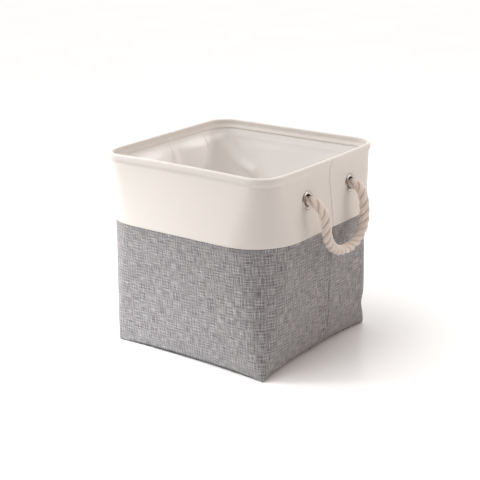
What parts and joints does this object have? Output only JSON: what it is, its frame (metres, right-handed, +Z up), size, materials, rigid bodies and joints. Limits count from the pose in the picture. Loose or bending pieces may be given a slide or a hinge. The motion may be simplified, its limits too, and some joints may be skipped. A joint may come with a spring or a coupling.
{
  "type": "fabric storage bin",
  "caption": "Soft-sided cube storage bin with a wired canvas rim band, woven lower walls, a loose lining and twisted rope handles in metal eyelets.",
  "frame": {"origin": "middle of the underside of the base, on the floor", "axes": "+Z up, the front face towards -Y, the rope handles on the +X and -X sides"},
  "size_m": [0.4192, 0.341, 0.333],
  "materials": {
    "grey_weave": "matte slub weave",
    "cream_canvas": "matte plain canvas",
    "lining_cloth": "matte thin cloth",
    "cotton_rope": "matte twisted cotton",
    "nickel_plate": "satin nickel plate",
    "spring_wire": "drawn steel wire",
    "chipboard": "matte grey board"
  },
  "bodies": {
    "base": {"outer_base": "grey_weave", "base_board": "chipboard", "lining_base": "lining_cloth", "outer_front_panel": "grey_weave", "outer_back_panel": "grey_weave", "lining_front": "lining_cloth", "lining_back": "lining_cloth"},
    "rim": {"band_front": "cream_canvas", "band_back": "cream_canvas", "rim_wire": "spring_wire", "right_front_eyelet": "nickel_plate", "right_front_washer": "nickel_plate", "right_front_rope_end": "cotton_rope", "right_back_eyelet": "nickel_plate", "right_back_washer": "nickel_plate", "right_back_rope_end": "cotton_rope", "left_front_eyelet": "nickel_plate", "left_front_washer": "nickel_plate", "left_front_rope_end": "cotton_rope", "left_back_eyelet": "nickel_plate", "left_back_washer": "nickel_plate", "left_back_rope_end": "cotton_rope"},
    "right_handle": {"right_rope_handle": "cotton_rope"},
    "left_handle": {"left_rope_handle": "cotton_rope"}
  },
  "joints": [
    {"name": "collapse", "type": "slide", "parent": "base", "child": "rim", "axis": [0, 0, -1], "range_m": [0, 0.165], "deforming": ["outer_front_panel", "outer_back_panel", "lining_front", "lining_back"]},
    {"name": "right_handle_lift", "type": "hinge", "parent": "rim", "child": "right_handle", "pos_m": [0.18686, 0.007, 0.279], "axis": [0, -1, 0], "range_deg": [0, 140]},
    {"name": "left_handle_lift", "type": "hinge", "parent": "rim", "child": "left_handle", "pos_m": [-0.18686, 0.007, 0.279], "axis": [0, 1, 0], "range_deg": [0, 140]}
  ]
}
